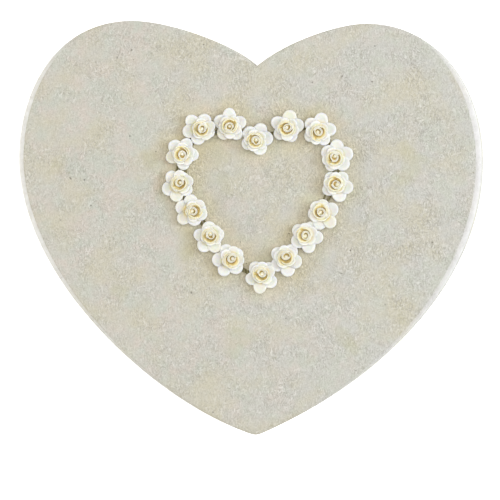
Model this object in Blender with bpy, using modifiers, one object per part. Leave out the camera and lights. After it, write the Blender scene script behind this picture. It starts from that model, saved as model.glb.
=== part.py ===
"""Heart-shaped wind up music box: a board box with a lift-off lid, paper roses and a small 18-note movement.

The box stands on the rim of its side wall at z = 0, with the tip of the heart towards -Y. The comb, the drum
and the spring barrel stand on the bedplate above the floor panel. The winding key hangs in the recess below.
"""

import math

import bmesh
import bpy
from mathutils import Vector

MM = 0.001  # every size below is in millimetres
GAP = 0.3  # between neighbouring pieces

# Heart outline: the notch and the tip lie on one axis, and each half is three Bezier stretches. The notch and
# the tip give the edge's angle and its handle; the lobe and the side give a point and the handles before and
# after it.
AXIS_X = 2.0
NOTCH_Y, TIP_Y = 48.7, -62.7
LEFT = {
    "notch": (44, 11.9), "lobe": (-35.6, 62.7, 9.6, 22.4),
    "side": (-70.0, 21.1, 21.7, 36.2), "tip": (17.6, 31.9),
}
RIGHT = {
    "notch": (41.5, 11.3), "lobe": (35.2, 61.7, 8.2, 21.7),
    "side": (70.0, 20.2, 22.5, 40.5), "tip": (22.5, 33.0),
}
OUTLINE_STEPS = (4, 8, 9)

# Box, lid and tray: how far each wall lies inside the outline, and the heights.
SKIRT_WALL, BOX_WALL, LINER_WALL = 1.8, 2.2, 1.8
BOX_INSET = SKIRT_WALL + 0.4
LINER_INSET = BOX_INSET + BOX_WALL + GAP
RECESS_H, BOARD_H = 11.0, 2.0
FLOOR_TOP = RECESS_H + BOARD_H
TRAY_Z = 35.6
WALL_TOP = 52.0
LID_Z, LID_H, LID_EDGE = WALL_TOP + GAP, 3.0, 1.6
SKIRT_Z = 34.0
LINING_H = 0.8

# Roses: centres on the lid, clockwise from the notch, and their sizes.
ROSE_CENTRES = (
    (2.4, 26.8), (11.5, 30.2), (21.0, 29.1), (26.2, 21.5), (26.4, 13.0), (21.9, 4.8), (17.2, -2.2),
    (11.2, -9.2), (3.9, -14.0), (-5.5, -9.4), (-11.5, -2.2), (-16.6, 4.8), (-20.6, 13.6), (-20.0, 22.4),
    (-14.2, 30.0), (-6.0, 31.0),
)
ROSE_R, ROSE_INNER_R, BUD_R = 3.95, 3.3, 1.8
ROSE_LAYERS = (0.0, 2.2, 4.2, 6.2)

# Movement: the barrel turns about Z, the drum and the intermediate wheel about X, the fly about Z.
BED_Z, BED_TOP = FLOOR_TOP + GAP, FLOOR_TOP + GAP + 2.0
BARREL_X, DRUM_Y = -15.0, 6.0
DRUM_Z = BED_TOP + 10.5
CROWN_TEETH, PINION_TEETH, CROWN_R = 40, 10, 11.4
CROWN_INNER, CROWN_OUTER = 10.2, 12.6
PINION_MODULE = 2 * CROWN_R / CROWN_TEETH
GEAR_TEETH, SMALL_TEETH, GEAR_MODULE = 36, 10, 0.5
WHEEL_TEETH, WHEEL_MODULE, WORM_R = 20, 0.55, 1.75
WORM_LEAD = math.pi * WHEEL_MODULE
TOOTH_SHARE = 0.42  # of the pitch, which leaves the gears free at every angle
MESH_TILT = math.radians(12)
MESH_DISTANCE = (GEAR_TEETH + SMALL_TEETH) * GEAR_MODULE / 2
WHEEL_Y = DRUM_Y + MESH_DISTANCE * math.cos(MESH_TILT)
WHEEL_Z = DRUM_Z - MESH_DISTANCE * math.sin(MESH_TILT)
WHEEL_X = 25.1
FLY_Y = WHEEL_Y + WHEEL_TEETH * WHEEL_MODULE / 2 + WORM_R
DRUM_R, DRUM_X0, DRUM_X1 = 6.5, -0.2, 19.8
GEAR_X = 20.3
ARBOR_R, SHAFT_R, BORE_GAP = 1.7, 1.0, 0.25
COMB_TEETH, COMB_PITCH, COMB_H = 18, 1.05, 0.9
COMB_TIP_Y = DRUM_Y - DRUM_R - 0.9
BRAKE_Z, BRAKE_R = 28.6, 2.4
STOP_TRAVEL = 3.0

BARREL_Z0, BARREL_Z1 = BED_TOP + 3.7, 27.3
CROWN_Z = DRUM_Z - PINION_TEETH * PINION_MODULE / 2

FINISHES = {
    "paper": ((0.61, 0.58, 0.50), 0.85, 0.0),
    "board": ((0.42, 0.38, 0.32), 0.9, 0.0),
    "lining": ((0.78, 0.74, 0.66), 0.95, 0.0),
    "rose": ((0.90, 0.86, 0.76), 0.8, 0.0),
    "zinc": ((0.45, 0.46, 0.47), 0.45, 1.0),
    "steel": ((0.62, 0.63, 0.65), 0.3, 1.0),
    "brass": ((0.80, 0.60, 0.28), 0.3, 1.0),
    "nylon": ((0.88, 0.87, 0.82), 0.5, 0.0),
    "black_plastic": ((0.03, 0.03, 0.035), 0.45, 0.0),
}


# Scene and finishing


def clear_scene():
    for obj in list(bpy.data.objects):
        bpy.data.objects.remove(obj, do_unlink=True)


def new_collection(name):
    made = bpy.data.collections.new(name)
    bpy.context.scene.collection.children.link(made)
    return made


def new_material(name):
    colour, roughness, metallic = FINISHES[name]
    made = bpy.data.materials.new(name)
    made.use_nodes = True
    shader = made.node_tree.nodes["Principled BSDF"]
    shader.inputs["Base Color"].default_value = (*colour, 1)
    shader.inputs["Roughness"].default_value = roughness
    shader.inputs["Metallic"].default_value = metallic
    return made


clear_scene()
PARTS = new_collection("wind_up_music_box")
CUTTERS = new_collection("cutters")
CUTTERS.hide_render = True
MATERIALS = {name: new_material(name) for name in FINISHES}


def link(obj, collection):
    for owner in list(obj.users_collection):
        owner.objects.unlink(obj)
    collection.objects.link(obj)


def give(obj, name, finish):
    """Names a finished piece and gives it its material."""
    obj.name = obj.data.name = name
    obj.data.materials.clear()
    obj.data.materials.append(MATERIALS[finish])
    obj.data.shade_smooth()
    obj.data.set_sharp_from_angle(angle=math.radians(35))
    return obj


def new_object(name, data, at=(0, 0, 0)):
    obj = bpy.data.objects.new(name, data)
    PARTS.objects.link(obj)
    obj.location = Vector(at) * MM
    return obj


def as_helper(obj):
    link(obj, CUTTERS)
    obj.hide_render = True
    obj.display_type = "WIRE"


def combine(obj, others, operation):
    for other in others:
        as_helper(other)
        step = obj.modifiers.new(operation.lower(), "BOOLEAN")
        step.operation = operation
        step.object = other
    return obj


def cut(obj, *others):
    return combine(obj, others, "DIFFERENCE")


def fuse(obj, *others):
    return combine(obj, others, "UNION")


def meshed(obj):
    """The object as a plain mesh object, with caps welded to sides and flat caps made single faces."""
    bpy.context.view_layer.update()
    data = bpy.data.meshes.new_from_object(obj.evaluated_get(bpy.context.evaluated_depsgraph_get()))
    bm = bmesh.new()
    bm.from_mesh(data)
    bmesh.ops.remove_doubles(bm, verts=bm.verts, dist=1e-6)
    bmesh.ops.dissolve_limit(bm, angle_limit=1e-4, verts=bm.verts, edges=bm.edges)
    bm.to_mesh(data)
    bm.free()
    made = bpy.data.objects.new(obj.name, data)
    made.matrix_world = obj.matrix_world
    PARTS.objects.link(made)
    bpy.data.objects.remove(obj, do_unlink=True)
    return made


# Shapes


def box(low, high):
    """A box between two corners, with its origin in the middle."""
    low, high = Vector(low) * MM, Vector(high) * MM
    bm = bmesh.new()
    bmesh.ops.create_cube(bm, size=1)
    bmesh.ops.scale(bm, vec=high - low, verts=bm.verts)
    data = bpy.data.meshes.new("box")
    bm.to_mesh(data)
    bm.free()
    made = new_object("box", data)
    made.location = (low + high) / 2
    return made


def plate(outlines, low, high, at=(0, 0), along="Z"):
    """A flat piece: outlines around `at`, filled and extruded from low to high along Z or X."""
    curve = bpy.data.curves.new("plate", "CURVE")
    curve.dimensions = "2D"
    curve.fill_mode = "BOTH"
    curve.extrude = (high - low) / 2 * MM
    for points in outlines:
        spline = curve.splines.new("POLY")
        spline.points.add(len(points) - 1)
        for point, (x, y) in zip(spline.points, points):
            point.co = (x * MM, y * MM, 0, 1)
        spline.use_cyclic_u = True
    middle = (low + high) / 2
    if along == "Z":
        return meshed(new_object("plate", curve, (at[0], at[1], middle)))
    made = new_object("plate", curve, (middle, at[0], at[1]))
    made.rotation_euler = (0, math.pi / 2, 0)
    return meshed(made)


def turned(profile, at=(0, 0, 0), steps=24, along="Z", closed=False):
    """A round piece: (radius, height) points, down the outer side, turned about Z or X through `at`."""
    data = bpy.data.meshes.new("turned")
    edges = [(i, i + 1) for i in range(len(profile) - 1)]
    if closed:
        edges.append((len(profile) - 1, 0))
    data.from_pydata([(r * MM, 0, z * MM) for r, z in profile], edges, [])
    made = new_object("turned", data, at)
    screw = made.modifiers.new("turn", "SCREW")
    screw.steps = screw.render_steps = steps
    screw.use_merge_vertices = True
    screw.merge_threshold = 1e-6
    screw.use_smooth_shade = False
    if along == "X":
        made.rotation_euler = (0, math.pi / 2, 0)
    return made


def rod(radius, low, high, at=(0, 0), steps=16, along="Z"):
    """A plain round bar from low to high along Z or X."""
    where = (at[0], at[1], 0) if along == "Z" else (0, at[0], at[1])
    return turned([(0, high), (radius, high), (radius, low), (0, low)], where, steps, along)


def ring(outer, inner, low, high, at=(0, 0), steps=24, along="Z"):
    """A bush or a tube from low to high along Z or X."""
    where = (at[0], at[1], 0) if along == "Z" else (0, at[0], at[1])
    profile = [(outer, high), (outer, low), (inner, low), (inner, high)]
    return turned(profile, where, steps, along, closed=True)


def wire(points, radius, sides=2, at=(0, 0, 0)):
    """A round wire through points around `at`."""
    curve = bpy.data.curves.new("wire", "CURVE")
    curve.dimensions = "3D"
    curve.bevel_depth = radius * MM
    curve.bevel_resolution = sides
    curve.use_fill_caps = True
    spline = curve.splines.new("POLY")
    spline.points.add(len(points) - 1)
    for point, place in zip(spline.points, points):
        point.co = (*(Vector(place) * MM), 1)
    return meshed(new_object("wire", curve, at))


def circle(radius, steps=16):
    angles = [2 * math.pi * i / steps for i in range(steps)]
    return [(radius * math.cos(angle), radius * math.sin(angle)) for angle in angles]


def ridge(profile, turns, lead, at, steps=10):
    """A screw thread: a closed (radius, height) profile carried round and up, with its two ends filled."""
    made = turned(profile, at, steps, closed=True)
    screw = made.modifiers["turn"]
    screw.screw_offset = lead * MM
    screw.iterations = turns
    made = meshed(made)
    bm = bmesh.new()
    bm.from_mesh(made.data)
    bmesh.ops.holes_fill(bm, edges=bm.edges)
    bmesh.ops.recalc_face_normals(bm, faces=bm.faces)
    bm.to_mesh(made.data)
    bm.free()
    return made


# Heart outline


def bezier(start, handle_a, handle_b, end, steps):
    points = []
    for i in range(steps):
        t = i / steps
        s = 1 - t
        points.append(s**3 * start + 3 * s * s * t * handle_a + 3 * s * t * t * handle_b + t**3 * end)
    return points


def half_outline(shape, side):
    """The half of the heart on one side (+1 right, -1 left), from the notch round to the tip."""
    notch, tip = Vector((AXIS_X, NOTCH_Y)), Vector((AXIS_X, TIP_Y))
    notch_angle, notch_handle = math.radians(shape["notch"][0]), shape["notch"][1]
    tip_angle, tip_handle = math.radians(shape["tip"][0]), shape["tip"][1]
    lobe, flank = Vector(shape["lobe"][:2]), Vector(shape["side"][:2])
    lobe_in, lobe_out = shape["lobe"][2:]
    flank_up, flank_down = shape["side"][2:]
    out, up = Vector((side, 0)), Vector((0, 1))
    from_notch = notch + notch_handle * Vector((side * math.cos(notch_angle), math.sin(notch_angle)))
    to_tip = tip + tip_handle * Vector((side * math.cos(tip_angle), math.sin(tip_angle)))
    points = bezier(notch, from_notch, lobe - out * lobe_in, lobe, OUTLINE_STEPS[0])
    points += bezier(lobe, lobe + out * lobe_out, flank + up * flank_up, flank, OUTLINE_STEPS[1])
    points += bezier(flank, flank - up * flank_down, to_tip, tip, OUTLINE_STEPS[2])
    return points + [tip]


def axis_crossing(first, second):
    """Where the line through two points meets the heart's axis."""
    t = (AXIS_X - first.x) / (second.x - first.x)
    return first + t * (second - first)


def inset_half(shape, side, inset):
    """A half outline moved inwards, with its ends run on or cut back to the axis."""
    points = half_outline(shape, side)
    if not inset:
        return points
    moved = []
    for i, point in enumerate(points):
        along = (points[min(i + 1, len(points) - 1)] - points[max(i - 1, 0)]).normalized()
        moved.append(point + side * inset * Vector((along.y, -along.x)))
    moved = [point for point in moved if (point.x - AXIS_X) * side > 0.3]
    return [axis_crossing(moved[0], moved[1]), *moved, axis_crossing(moved[-1], moved[-2])]


def heart(inset):
    """The whole outline, moved inwards, anticlockwise from the notch."""
    left = inset_half(LEFT, -1, inset)
    right = inset_half(RIGHT, 1, inset)
    return [tuple(point) for point in left + right[-2:0:-1]]


# Box


def side_wall():
    made = plate([heart(BOX_INSET), heart(BOX_INSET + BOX_WALL)], 0, WALL_TOP)
    return give(made, "side_wall", "paper")


def liner(name, low, high):
    made = plate([heart(LINER_INSET), heart(LINER_INSET + LINER_WALL)], low, high)
    return give(made, name, "board")


def floor_panel():
    made = plate([heart(LINER_INSET)], RECESS_H, FLOOR_TOP)
    holes = [rod(ARBOR_R + 1.2, RECESS_H - 1, FLOOR_TOP + 1, (BARREL_X, DRUM_Y))]
    holes += [rod(1.5, RECESS_H - 1, FLOOR_TOP + 1, at, 12) for at in MOVEMENT_SCREWS]
    slot_low = (STOP_X - STOP_TRAVEL - 0.5, FLY_Y - 1.3, RECESS_H - 1)
    holes.append(box(slot_low, (STOP_X + 2, FLY_Y + 1.3, FLOOR_TOP + 1)))
    return give(cut(made, *holes), "floor_panel", "board")


def tray():
    give(plate([heart(LINER_INSET)], TRAY_Z, TRAY_Z + BOARD_H), "tray_floor", "board")
    low = TRAY_Z + BOARD_H + GAP
    give(plate([heart(LINER_INSET + GAP)], low, low + 1.2), "tray_lining", "lining")


# Lid


def lid_panel():
    made = plate([heart(0)], LID_Z, LID_Z + LID_H)
    made.data.attributes.new("bevel_weight_edge", "FLOAT", "EDGE")
    weights = made.data.attributes["bevel_weight_edge"].data
    for edge in made.data.edges:
        if all(made.data.vertices[i].co.z > 0 for i in edge.vertices):
            weights[edge.index].value = 1
    bevel = made.modifiers.new("rounded edge", "BEVEL")
    bevel.limit_method = "WEIGHT"
    bevel.width = LID_EDGE * MM
    bevel.segments = 2
    return give(made, "lid_panel", "paper")


def lid():
    lid_panel()
    give(plate([heart(0), heart(SKIRT_WALL)], SKIRT_Z, LID_Z - GAP), "lid_skirt", "paper")
    give(plate([heart(LINER_INSET + GAP)], LID_Z - GAP - LINING_H, LID_Z - GAP), "lid_lining", "lining")


def petal_ring(radius, turn):
    """Five petals as one outline: a point at each petal's end and one between it and the next."""
    points = []
    for i in range(10):
        angle = 2 * math.pi * i / 10 + turn
        reach = radius * (1 if i % 2 else 0.84)
        points.append((reach * math.cos(angle), reach * math.sin(angle)))
    return points


def roses():
    base = plate([petal_ring(ROSE_R, 0)], ROSE_LAYERS[0], ROSE_LAYERS[1])
    top = plate([petal_ring(ROSE_INNER_R, math.pi / 5)], ROSE_LAYERS[1] - 0.5, ROSE_LAYERS[2])
    bud = rod(BUD_R, ROSE_LAYERS[2] - 0.5, ROSE_LAYERS[3], steps=6)
    pattern = meshed(fuse(base, top, bud))
    z = LID_Z + LID_H + GAP
    for i, (x, y) in enumerate(ROSE_CENTRES):
        rose = new_object("rose", pattern.data.copy(), (x, y, z))
        rose.rotation_euler.z = math.radians(31 * i)
        rose.data.transform(pattern.matrix_world)
        give(rose, f"rose_{i + 1:02d}", "rose")
    bpy.data.objects.remove(pattern, do_unlink=True)


# Gear shapes


def gear_outline(teeth, module, first_tooth, above=0.8, below=1.15):
    """A gear's outline, four points a tooth, with one tooth at the angle first_tooth.

    above and below are how far a tooth reaches over and under the pitch circle, in modules.
    """
    pitch_r = teeth * module / 2
    root_r, tip_r = pitch_r - below * module, pitch_r + above * module
    half = TOOTH_SHARE * math.pi / teeth
    points = []
    for i in range(teeth):
        middle = first_tooth + 2 * math.pi * i / teeth
        for radius, width in ((root_r, -1.3), (tip_r, -0.45), (tip_r, 0.45), (root_r, 1.3)):
            angle = middle + width * half
            points.append((radius * math.cos(angle), radius * math.sin(angle)))
    return points


# Movement on the bedplate

MOVEMENT_SCREWS = ((-26.5, 22.5), (-26.5, -10.5), (26.0, -12.0))
COMB_SCREWS = ((5.0, -19.5), (14.6, -19.5))
BRIDGE_FEET = (-11.4, 23.4)
BEARING_SCREWS = (1.9, 26.0)
FOOT_TOP = BED_TOP + 1.2 + 2 * GAP  # where a screw head sits on a bracket's foot
COMB_X0 = DRUM_X0 + 0.5
COMB_BACK_Y = -23.0
STOP_X = 33.5


def bedplate():
    made = box((-30, -24.0, BED_Z), (29.0, 33.0, BED_TOP))
    pad = box((DRUM_X0, COMB_BACK_Y, BED_TOP - 1), (DRUM_X1, -16.0, DRUM_Z - COMB_H / 2 - GAP))
    holes = [rod(ARBOR_R + BORE_GAP, BED_Z - 1, BED_TOP + 1, (BARREL_X, DRUM_Y))]
    holes += [rod(1.0, DRUM_Z - 8, DRUM_Z, at, 12) for at in COMB_SCREWS]
    holes += [rod(1.5, BED_Z - 1, BED_TOP + 1, at, 12) for at in MOVEMENT_SCREWS]
    holes += [rod(1.0, BED_Z - 1, BED_TOP + 1, (BARREL_X, y), 12) for y in BRIDGE_FEET]
    holes += [rod(1.0, BED_Z - 1, BED_TOP + 1, (x, DRUM_Y), 12) for x in BEARING_SCREWS]
    holes.append(rod(1.0, BED_Z - 1, BED_TOP + 1, GOVERNOR_SCREW, 12))
    return give(cut(fuse(made, pad), *holes), "bedplate", "zinc")


def screw(name, at, head_z, length, head_r=2.0, shank_r=0.75, down=1):
    """A pan-head screw whose head starts at head_z: down is 1 for a shank that points down, and -1 for up."""
    profile = [(0, 1.2), (head_r * 0.8, 1.2), (head_r, 0), (shank_r, 0), (shank_r, -length), (0, -length)]
    made = turned(profile, (*at, head_z), 10)
    if down < 0:
        made.rotation_euler.x = math.pi
    slot_low, slot_high = sorted((head_z + down * 1.5, head_z + down * 0.7))
    slot = box((at[0] - 3, at[1] - 0.25, slot_low), (at[0] + 3, at[1] + 0.25, slot_high))
    return give(cut(made, slot), name, "steel")


def comb():
    """The comb: tines that get shorter from the bass side to the treble side."""
    root_y = -15.5
    width = COMB_TEETH * COMB_PITCH
    points = [(COMB_X0, COMB_BACK_Y), (COMB_X0 + width, COMB_BACK_Y)]
    for i in reversed(range(COMB_TEETH)):
        left = COMB_X0 + i * COMB_PITCH + 0.15
        right = left + COMB_PITCH - 0.35
        slot_y = root_y + 0.24 * i
        points += [(right, slot_y), (right, COMB_TIP_Y), (left, COMB_TIP_Y), (left, slot_y)]
    made = plate([points], DRUM_Z - COMB_H / 2, DRUM_Z + COMB_H / 2)
    holes = [rod(1.0, DRUM_Z - 2, DRUM_Z + 2, at, 12) for at in COMB_SCREWS]
    return give(cut(made, *holes), "comb", "steel")


def spring_barrel():
    centre = (BARREL_X, DRUM_Y)
    floor_z, flange_z, outer, inner = BARREL_Z0 + 1.0, CROWN_Z - 0.75, 9.4, 8.6
    profile = [
        (outer, BARREL_Z1), (outer, flange_z), (CROWN_OUTER, flange_z), (CROWN_OUTER, flange_z - 1.2),
        (outer, flange_z - 1.2), (outer, BARREL_Z0), (ARBOR_R + 0.4, BARREL_Z0), (ARBOR_R + 0.4, floor_z),
        (inner, floor_z), (inner, BARREL_Z1),
    ]
    made = turned(profile, (*centre, 0), 30, closed=True)
    return give(fuse(made, crown_teeth()), "spring_barrel", "steel")


def crown_teeth():
    """The crown wheel's teeth, standing on the barrel's flange, with one tooth at +X."""
    low, high = CROWN_Z - 1.0, CROWN_Z + 0.3
    bm = bmesh.new()
    for i in range(CROWN_TEETH):
        angle = 2 * math.pi * i / CROWN_TEETH
        tooth = bmesh.ops.create_cube(bm, size=1)["verts"]
        for vert in tooth:
            radius = CROWN_INNER if vert.co.x < 0 else CROWN_OUTER - 0.2
            share = 0.17 if vert.co.z < 0 else 0.10
            turn = angle + (share if vert.co.y > 0 else -share) * 2 * math.pi / CROWN_TEETH
            height = high if vert.co.z > 0 else low
            vert.co = Vector((radius * math.cos(turn), radius * math.sin(turn), height)) * MM
    data = bpy.data.meshes.new("crown_teeth")
    bm.to_mesh(data)
    bm.free()
    return new_object("crown_teeth", data, (BARREL_X, DRUM_Y, 0))


def mainspring():
    """A flat strip coiled between the arbor and the barrel wall."""
    turns, steps_a_turn, inner, outer = 4, 12, 2.5, 8.0
    count = turns * steps_a_turn
    points = []
    for i in range(count + 1):
        angle = 2 * math.pi * i / steps_a_turn
        radius = inner + (outer - inner) * i / count
        points.append((radius * math.cos(angle) * MM, radius * math.sin(angle) * MM, 0))
    data = bpy.data.meshes.new("mainspring")
    low, high = BARREL_Z0 + 1.0 + GAP, BARREL_Z1 - GAP
    tops = [(x, y, (high - low) * MM) for x, y, _ in points]
    faces = [(i, i + 1, count + 2 + i, count + 1 + i) for i in range(count)]
    data.from_pydata(points + tops, [], faces)
    made = new_object("mainspring", data, (BARREL_X, DRUM_Y, low))
    strip = made.modifiers.new("strip", "SOLIDIFY")
    strip.thickness = 0.4 * MM
    strip.offset = 0
    return give(made, "mainspring", "steel")


def barrel_group():
    spring_barrel()
    mainspring()
    centre = (BARREL_X, DRUM_Y)
    cover = ring(9.4, ARBOR_R + 0.4, BARREL_Z1 + GAP, BARREL_Z1 + GAP + 0.8, centre, 32)
    give(cover, "barrel_cover", "steel")


def barrel_bridge():
    """The strap over the barrel that carries the top of the arbor."""
    low, high = 29.0, 30.2
    x0, x1 = BARREL_X - 3, BARREL_X + 3
    made = box((x0, DRUM_Y - 14.9, low), (x1, DRUM_Y + 14.9, high))
    for side in (-1, 1):
        inner, outer, toe = (DRUM_Y + side * reach for reach in (13.7, 14.9, 19.5))
        leg = box((x0, min(inner, outer), BED_TOP + GAP), (x1, max(inner, outer), high - 0.2))
        foot = box((x0, min(inner, toe), BED_TOP + GAP), (x1, max(inner, toe), BED_TOP + GAP + 1.2))
        fuse(made, leg, foot)
    holes = [rod(ARBOR_R + BORE_GAP, low - 1, high + 1, (BARREL_X, DRUM_Y))]
    holes += [rod(1.0, BED_TOP - 1, BED_TOP + 3, (BARREL_X, y), 12) for y in BRIDGE_FEET]
    return give(cut(made, *holes), "barrel_bridge", "steel")


def winding_arbor():
    return give(rod(ARBOR_R, 5.5, 31.0, (BARREL_X, DRUM_Y)), "winding_arbor", "steel")


def winding_key():
    """A butterfly key: two loops on a hub that takes the end of the arbor."""
    wing_centre, wing_r, hole_r = 7.6, 5.0, 2.6
    hub = turned([(0, 10.2), (3.2, 10.2), (3.2, 3.0), (2.4, 2.2), (0, 2.2)], (BARREL_X, DRUM_Y, 0), 20)
    wings = []
    for side in (-1, 1):
        outline = [circle(wing_r), circle(hole_r, 12)]
        wing = plate(outline, -0.9, 0.9)
        wing.scale = (1, 0.82, 1)
        wing.rotation_euler = (math.pi / 2, 0, 0)
        wing.location = Vector((BARREL_X + side * wing_centre, DRUM_Y, 5.6)) * MM
        wings.append(wing)
    socket = rod(ARBOR_R + BORE_GAP, 5.2, 11, (BARREL_X, DRUM_Y))
    return give(cut(fuse(hub, *wings), socket), "winding_key", "steel")


def click_spring():
    """The wrap spring on the arbor, with its tail held out over the bedplate."""
    steps, turns, radius, wire_r = 10, 3, 2.5, 0.3
    low = BED_TOP + 0.7
    points = []
    for i in range(turns * steps + 1):
        angle = 2 * math.pi * i / steps
        points.append((radius * math.cos(angle), radius * math.sin(angle), low + 0.72 * i / steps))
    points.append((radius, 4.5, low + 0.72 * turns))
    made = wire(points, wire_r, 1, (BARREL_X, DRUM_Y, 0))
    return give(made, "click_spring", "steel")


def drum_group():
    centre = (DRUM_Y, DRUM_Z)
    profile = [
        (DRUM_R, DRUM_X1), (DRUM_R, DRUM_X0), (DRUM_R - 0.9, DRUM_X0), (DRUM_R - 0.9, DRUM_X1 - 1.5),
        (SHAFT_R + BORE_GAP, DRUM_X1 - 1.5), (SHAFT_R + BORE_GAP, DRUM_X1),
    ]
    drum = turned(profile, (0, *centre), 32, "X", closed=True)
    give(drum, "music_cylinder", "brass")
    give(rod(SHAFT_R, -5.4, 24.4, centre, 12, "X"), "cylinder_arbor", "steel")
    bore = circle(SHAFT_R + BORE_GAP, 12)
    pinion = gear_outline(PINION_TEETH, PINION_MODULE, math.pi / PINION_TEETH)
    give(plate([pinion, bore], -4.9, -2.2, centre, "X"), "cylinder_pinion", "brass")
    gear = gear_outline(GEAR_TEETH, GEAR_MODULE, math.pi / 2 - MESH_TILT)
    give(plate([gear, bore], GEAR_X, GEAR_X + 1.5, centre, "X"), "cylinder_gear", "nylon")


def bearing(name, low, high, foot, screw_x):
    """An upright plate with a bore for the drum's arbor and a foot out to x = foot."""
    upright = box((low, DRUM_Y - 3.5, BED_TOP + GAP), (high, DRUM_Y + 3.5, DRUM_Z + 3.2))
    foot_z = BED_TOP + GAP
    base = box((min(low, foot), DRUM_Y - 3.5, foot_z), (max(high, foot), DRUM_Y + 3.5, foot_z + 1.2))
    bore = rod(SHAFT_R + BORE_GAP, low - 1, high + 1, (DRUM_Y, DRUM_Z), 12, "X")
    hole = rod(1.0, BED_TOP - 1, BED_TOP + 3, (screw_x, DRUM_Y), 12)
    return give(cut(fuse(upright, base), bore, hole), name, "steel")


GOVERNOR_SCREW = (20.8, 27.8)
PIVOT_R = 0.6


def governor_frame():
    """The frame that holds the intermediate wheel between two plates and the fly between base and top arm."""
    x0, x1, base_z, top_z = 18.0, 28.6, BED_TOP + GAP, 34.0
    made = box((x0, 13.0, base_z), (x1, 31.7, base_z + 1.2))
    left = box((x0, 14.2, base_z), (x0 + 1.1, 20.4, WHEEL_Z + 3))
    right = box((x1 - 1.1, 14.2, base_z), (x1, 20.4, WHEEL_Z + 3))
    post = box((WHEEL_X - 2, 30.4, base_z), (WHEEL_X + 2, 31.7, top_z + 1.1))
    arm = box((WHEEL_X - 2, FLY_Y - 1.6, top_z), (WHEEL_X + 2, 31.6, top_z + 1.1))
    pivots = [
        rod(PIVOT_R + BORE_GAP, x0 - 1, x0 + 2, (WHEEL_Y, WHEEL_Z), 10, "X"),
        rod(PIVOT_R + BORE_GAP, x1 - 2, x1 + 1, (WHEEL_Y, WHEEL_Z), 10, "X"),
        rod(PIVOT_R + BORE_GAP, base_z - 1, base_z + 2, (WHEEL_X, FLY_Y), 10),
        rod(PIVOT_R + BORE_GAP, top_z - 1, top_z + 2, (WHEEL_X, FLY_Y), 10),
        rod(1.0, base_z - 1, base_z + 2, GOVERNOR_SCREW, 12),
    ]
    return give(cut(fuse(made, left, right, post, arm), *pivots), "governor_frame", "zinc")


def intermediate_wheel():
    """The pinion and the worm wheel on one arbor."""
    centre = (WHEEL_Y, WHEEL_Z)
    small = gear_outline(SMALL_TEETH, GEAR_MODULE, 3 * math.pi / 2 - MESH_TILT + math.pi / SMALL_TEETH)
    made = plate([small], GEAR_X - 0.2, WHEEL_X, centre, "X")
    worm_teeth = gear_outline(WHEEL_TEETH, WHEEL_MODULE, math.pi / 2, 0.6, 1.35)
    wheel = plate([worm_teeth], WHEEL_X - 0.6, WHEEL_X + 0.6, centre, "X")
    axle = rod(PIVOT_R, 18.3, 28.3, centre, 10, "X")
    return give(fuse(made, wheel, axle), "intermediate_wheel", "nylon")


def fly_worm():
    """The upright worm shaft with its brake disc."""
    centre = (WHEEL_X, FLY_Y)
    turns, core_r, thread_r = 4, WORM_R - 0.55, WORM_R + 0.55
    profile = [
        (0, 34.8), (PIVOT_R, 34.8), (PIVOT_R, BRAKE_Z + 0.9), (BRAKE_R, BRAKE_Z + 0.9), (BRAKE_R, BRAKE_Z),
        (core_r, BRAKE_Z), (core_r, BED_TOP + 2.2), (PIVOT_R, BED_TOP + 2.2), (PIVOT_R, BED_TOP + 0.5),
        (0, BED_TOP + 0.5),
    ]
    shaft = turned(profile, (*centre, 0), 12)
    section = [(core_r - 0.25, 0.38), (thread_r, 0.12), (thread_r, -0.12), (core_r - 0.25, -0.38)]
    quarter = WORM_LEAD / 4  # the thread starts at +X and meets the wheel at -Y
    thread = ridge(section, turns, WORM_LEAD, (*centre, WHEEL_Z - WORM_LEAD * turns / 2 - quarter))
    return give(fuse(shaft, thread), "fly_worm", "brass")


def fly_vane():
    """The two-bladed air brake on the worm shaft."""
    low, high = BRAKE_Z + 1.2, 33.6
    blades = box((WHEEL_X - 5, FLY_Y - 0.2, low), (WHEEL_X + 5, FLY_Y + 0.2, high))
    hub = rod(1.5, low, high, (WHEEL_X, FLY_Y), 12)
    bore = rod(PIVOT_R + 0.2, low - 1, high + 1, (WHEEL_X, FLY_Y), 12)
    return give(cut(fuse(blades, hub), bore), "fly_vane", "nylon")


def stop_group():
    """The stop: a knob below the floor, and a strip through the slot with an arm beside the brake disc."""
    y0, y1 = FLY_Y - 0.9, FLY_Y + 0.9
    strip = box((STOP_X, y0, 10.4), (STOP_X + 1.2, y1, BRAKE_Z + 1.0))
    flange_z = FLOOR_TOP + GAP
    flange = box((STOP_X - 1.2, FLY_Y - 2.2, flange_z), (STOP_X + 2.4, FLY_Y + 2.2, flange_z + 0.8))
    reach = WHEEL_X + BRAKE_R + 0.2 + STOP_TRAVEL
    arm = box((reach, y0, BRAKE_Z + 0.2), (STOP_X + 1.1, y1, BRAKE_Z + 1.0))
    give(fuse(strip, flange, arm), "stop_lever", "brass")
    knob = box((STOP_X - 2, FLY_Y - 4, 6.8), (STOP_X + 3.2, FLY_Y + 4, 10.1))
    bevel = knob.modifiers.new("rounded edges", "BEVEL")
    bevel.width = 0.8 * MM
    bevel.segments = 2
    give(knob, "stop_knob", "black_plastic")


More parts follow.
